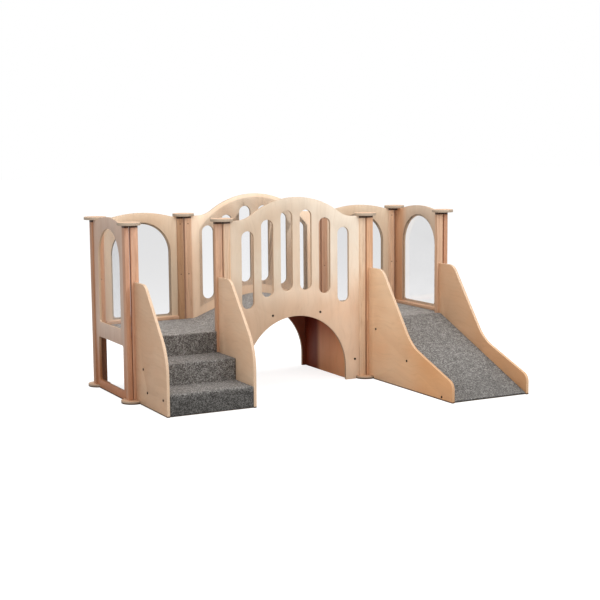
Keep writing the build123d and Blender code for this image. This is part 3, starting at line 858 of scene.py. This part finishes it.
# Fasteners, metres: the heads' sizes, the recess and its sides, and how deep the head's seat lies
bolt = {"radius": 0.0078, "height": 0.0029, "recess": 0.0034, "deep": 0.0021, "sides": 6, "seat": 0.003}
screw = {"radius": 0.0038, "height": 0.0011, "recess": 0.0017, "deep": 0.0009, "sides": 4, "seat": 0.0012}
boltSteel = plated("plated_bolt", srgb(44, 35, 30))
screwSteel = plated("plated_screw", srgb(104, 62, 42))


# A turned head with a recess of flat sides
def headMesh(name, sizes, material):
    bm = bmesh.new()
    around = 24
    angles = [2 * math.pi * k / around for k in range(around)]
    radius, height, recess = sizes["radius"], sizes["height"], sizes["recess"]
    profile = [
        (radius, 0.0),
        (radius, height * 0.35),
        (radius * 0.93, height * 0.72),
        (radius * 0.72, height * 0.95),
        (recess * 1.12, height),
    ]
    rings = [[(r * math.cos(a), r * math.sin(a), h) for a in angles] for r, h in profile]
    flat = math.pi / sizes["sides"]
    for h in (height * 0.97, height - sizes["deep"]):
        ring = []
        for a in angles:
            local = (a + flat) % (2 * flat) - flat
            r = recess * math.cos(flat) / math.cos(local)
            ring.append((r * math.cos(a), r * math.sin(a), h))
        rings.append(ring)
    verts = [[bm.verts.new(place) for place in ring] for ring in rings]
    for a, b in zip(verts, verts[1:]):
        for k in range(around):
            n = (k + 1) % around
            bm.faces.new([a[k], a[n], b[n], b[k]])
    bm.faces.new(list(reversed(verts[0])))
    bm.faces.new(verts[-1])
    bmesh.ops.recalc_face_normals(bm, faces=bm.faces)
    mesh = bpy.data.meshes.new(name)
    bm.to_mesh(mesh)
    bm.free()
    for polygon in mesh.polygons:
        polygon.use_smooth = True
    mesh.set_sharp_from_angle(angle=math.radians(finish["head"]))
    mesh.materials.append(material)
    return mesh


# The box of each separate solid in a CAD node
def islands(node):
    bm = bmesh.new()
    bm.from_mesh(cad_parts[node].data)
    bmesh.ops.remove_doubles(bm, verts=bm.verts, dist=finish["merge"])
    left = set(bm.verts)
    out = []
    while left:
        stack = [left.pop()]
        group = []
        while stack:
            vert = stack.pop()
            group.append(vert.co.copy())
            for edge in vert.link_edges:
                other = edge.other_vert(vert)
                if other in left:
                    left.remove(other)
                    stack.append(other)
        low = Vector(map(min, *group))
        high = Vector(map(max, *group))
        out.append((low, high))
    bm.free()
    return sorted(out, key=lambda pair: tuple(pair[0]))


# Points with directions, turned into copies of one head by Geometry Nodes
def scattered(name, node, head, spots):
    points = bpy.data.meshes.new(name + "_points")
    points.from_pydata([tuple(place) for place, _ in spots], [], [])
    layer = points.attributes.new("outward", "FLOAT_VECTOR", "POINT")
    for index, (_, outward) in enumerate(spots):
        layer.data[index].vector = outward
    holder = bpy.data.objects.new(name + "_points", points)
    scene.collection.objects.link(holder)
    template = bpy.data.objects.new(name + "_head", head)
    scene.collection.objects.link(template)
    tree = bpy.data.node_groups.new(name + "_copies", "GeometryNodeTree")
    tree.interface.new_socket("Geometry", in_out="INPUT", socket_type="NodeSocketGeometry")
    tree.interface.new_socket("Head", in_out="INPUT", socket_type="NodeSocketObject")
    tree.interface.new_socket("Material", in_out="INPUT", socket_type="NodeSocketMaterial")
    tree.interface.new_socket("Geometry", in_out="OUTPUT", socket_type="NodeSocketGeometry")
    start = tree.nodes.new("NodeGroupInput")
    end = tree.nodes.new("NodeGroupOutput")
    info = addNode(tree, "GeometryNodeObjectInfo", {"Object": start.outputs["Head"]})
    outward = addNode(
        tree, "GeometryNodeInputNamedAttribute", {"Name": "outward"}, data_type="FLOAT_VECTOR"
    )
    turn = addNode(tree, "FunctionNodeAlignRotationToVector", {"Vector": outward.outputs[0]}, axis="Z")
    copies = addNode(
        tree,
        "GeometryNodeInstanceOnPoints",
        {
            "Points": start.outputs["Geometry"],
            "Instance": info.outputs["Geometry"],
            "Rotation": turn.outputs[0],
        },
    )
    real = addNode(tree, "GeometryNodeRealizeInstances", {"Geometry": copies.outputs[0]})
    paint = addNode(
        tree,
        "GeometryNodeSetMaterial",
        {"Geometry": real.outputs[0], "Material": start.outputs["Material"]},
    )
    tree.links.new(paint.outputs[0], end.inputs[0])
    modifier = holder.modifiers.new("copies", "NODES")
    modifier.node_group = tree
    for item in tree.interface.items_tree:
        if item.in_out == "INPUT" and item.name == "Head":
            modifier[item.identifier] = template
        if item.in_out == "INPUT" and item.name == "Material":
            modifier[item.identifier] = head.materials[0]
    depsgraph = bpy.context.evaluated_depsgraph_get()
    mesh = bpy.data.meshes.new_from_object(holder.evaluated_get(depsgraph), depsgraph=depsgraph)
    mesh.name = name
    bpy.data.objects.remove(holder)
    bpy.data.objects.remove(template)
    settled(name, mesh, node)


# Bolt heads lie on the outer faces, screw heads in the faces that look into the bays
midLine = (frontLine + backLine) / 2
boltSpots = []
for low, high in islands("panel_bolts"):
    size = high - low
    centre = (low + high) / 2
    if size.y > size.x:
        sign = -1 if centre.y < midLine else 1
        y = low.y + bolt["seat"] if sign < 0 else high.y - bolt["seat"]
        boltSpots.append((Vector((centre.x, y, centre.z)), Vector((0, sign, 0))))
    else:
        sides = {
            leftAxis: -1,
            rightAxis + platformWidth: 1,
            leftAxis + platformWidth: 1,
            rightAxis: -1,
        }
        sign = sides[min(sides, key=lambda x: abs(x - centre.x))]
        x = low.x + bolt["seat"] if sign < 0 else high.x - bolt["seat"]
        boltSpots.append((Vector((x, centre.y, centre.z)), Vector((sign, 0, 0))))
scattered("panel_bolt_heads", "panel_bolts", headMesh("bolt_head", bolt, boltSteel), boltSpots)

screwSpots = []
for low, high in islands("stile_screws"):
    size = high - low
    centre = (low + high) / 2
    if size.y < size.x:
        sign = 1 if centre.y < midLine else -1
        y = low.y if sign < 0 else high.y
        screwSpots.append((Vector((centre.x, y - sign * screw["seat"], centre.z)), Vector((0, sign, 0))))
    else:
        sign = 1 if centre.x < 0 else -1
        x = low.x if sign < 0 else high.x
        screwSpots.append((Vector((x - sign * screw["seat"], centre.y, centre.z)), Vector((sign, 0, 0))))
scattered("stile_screw_heads", "stile_screws", headMesh("screw_head", screw, screwSteel), screwSpots)
print("fasteners done")

# Floor and backdrop: near white to the camera, plain pale to every other ray
studio = {"reach": 40, "floor": 0.42, "glow": 0.80, "light": 0.56, "seenToo": 0.44}
reach, grey = studio["reach"], (studio["floor"], studio["floor"], studio["floor"], 1.0)
floorMesh = bpy.data.meshes.new("studio_floor")
corners = [(-reach, -reach, 0), (reach, -reach, 0), (reach, reach, 0), (-reach, reach, 0)]
floorMesh.from_pydata(corners, [], [(0, 1, 2, 3)])
floor = bpy.data.objects.new("studio_floor", floorMesh)
scene.collection.objects.link(floor)
floorMat, floorTree, floorBsdf = newMaterial("studio_white")
floorBsdf.inputs["Base Color"].default_value = grey
floorBsdf.inputs["Roughness"].default_value = 0.9
floorBsdf.inputs["Specular IOR Level"].default_value = 0.1
pathNode = addNode(floorTree, "ShaderNodeLightPath")
glow = addNode(floorTree, "ShaderNodeEmission", {"Color": (1, 1, 1, 1), "Strength": studio["glow"]})
dull = addNode(floorTree, "ShaderNodeBsdfDiffuse", {"Color": grey})
both = addNode(floorTree, "ShaderNodeAddShader", {0: glow.outputs[0], 1: dull.outputs[0]})
seen = addNode(
    floorTree,
    "ShaderNodeMixShader",
    {0: pathNode.outputs["Is Camera Ray"], 1: floorBsdf.outputs[0], 2: both.outputs[0]},
)
floorTree.links.new(seen.outputs[0], floorTree.nodes["Material Output"].inputs["Surface"])
floorMesh.materials.append(floorMat)

world = bpy.data.worlds.new("studio")
scene.world = world
world.use_nodes = True
skyTree = world.node_tree
background = skyTree.nodes["Background"]
skyPath = addNode(skyTree, "ShaderNodeLightPath")
cameraRay, clearRay = skyPath.outputs["Is Camera Ray"], skyPath.outputs["Is Transmission Ray"]
direct = mathNode(skyTree, "MAXIMUM", cameraRay, clearRay)
level = mathNode(skyTree, "MULTIPLY_ADD", direct, studio["seenToo"], studio["light"])
skyTree.links.new(level, background.inputs["Strength"])
background.inputs["Color"].default_value = (1, 1, 1, 1)

# Lights: where each one is, the point it faces, its width and height in metres, its watts
lights = {
    "key_light": ((1.6, -5.4, 4.2), (0.0, 0.0, 0.5), (5.0, 4.2), 226),
    "fill_light": ((-5.2, -3.2, 2.6), (0.0, 0.0, 0.6), (3.0, 2.4), 66),
    "top_light": ((0.0, 0.6, 5.0), (0.0, 0.0, 0.4), (4.0, 3.0), 134),
}
for name, (place, target, size, power) in lights.items():
    data = bpy.data.lights.new(name, "AREA")
    data.shape = "RECTANGLE"
    data.size, data.size_y = size
    data.energy = power
    lamp = bpy.data.objects.new(name, data)
    scene.collection.objects.link(lamp)
    lamp.location = place
    lamp.rotation_euler = (Vector(target) - Vector(place)).to_track_quat("-Z", "Y").to_euler()

# Camera fitted to the photograph, no shift: angles in radians, focal length in pixels
view = {
    "yaw": 0.48274,
    "pitch": 0.12863,
    "roll": -0.00769,
    "focal": 1289.7,
    "width": 600,
    "place": (-3.86676, -7.27925, 1.64767),
}
yaw, pitch, roll = view["yaw"], view["pitch"], view["roll"]
forward = Vector((math.sin(yaw) * math.cos(pitch), math.cos(yaw) * math.cos(pitch), -math.sin(pitch)))
flat = Vector((math.cos(yaw), -math.sin(yaw), 0))
above = flat.cross(forward)
right = flat * math.cos(roll) + above * math.sin(roll)
upward = -flat * math.sin(roll) + above * math.cos(roll)
lens = bpy.data.cameras.new("photo_camera")
lens.sensor_width = 36.0
lens.lens = view["focal"] * lens.sensor_width / view["width"]
lens.clip_start = 0.1
lens.clip_end = 200
camera = bpy.data.objects.new("photo_camera", lens)
scene.collection.objects.link(camera)
turned = Matrix((right, upward, -forward)).transposed().to_4x4()
turned.translation = Vector(view["place"])
camera.matrix_world = turned
scene.camera = camera

print("scene done")
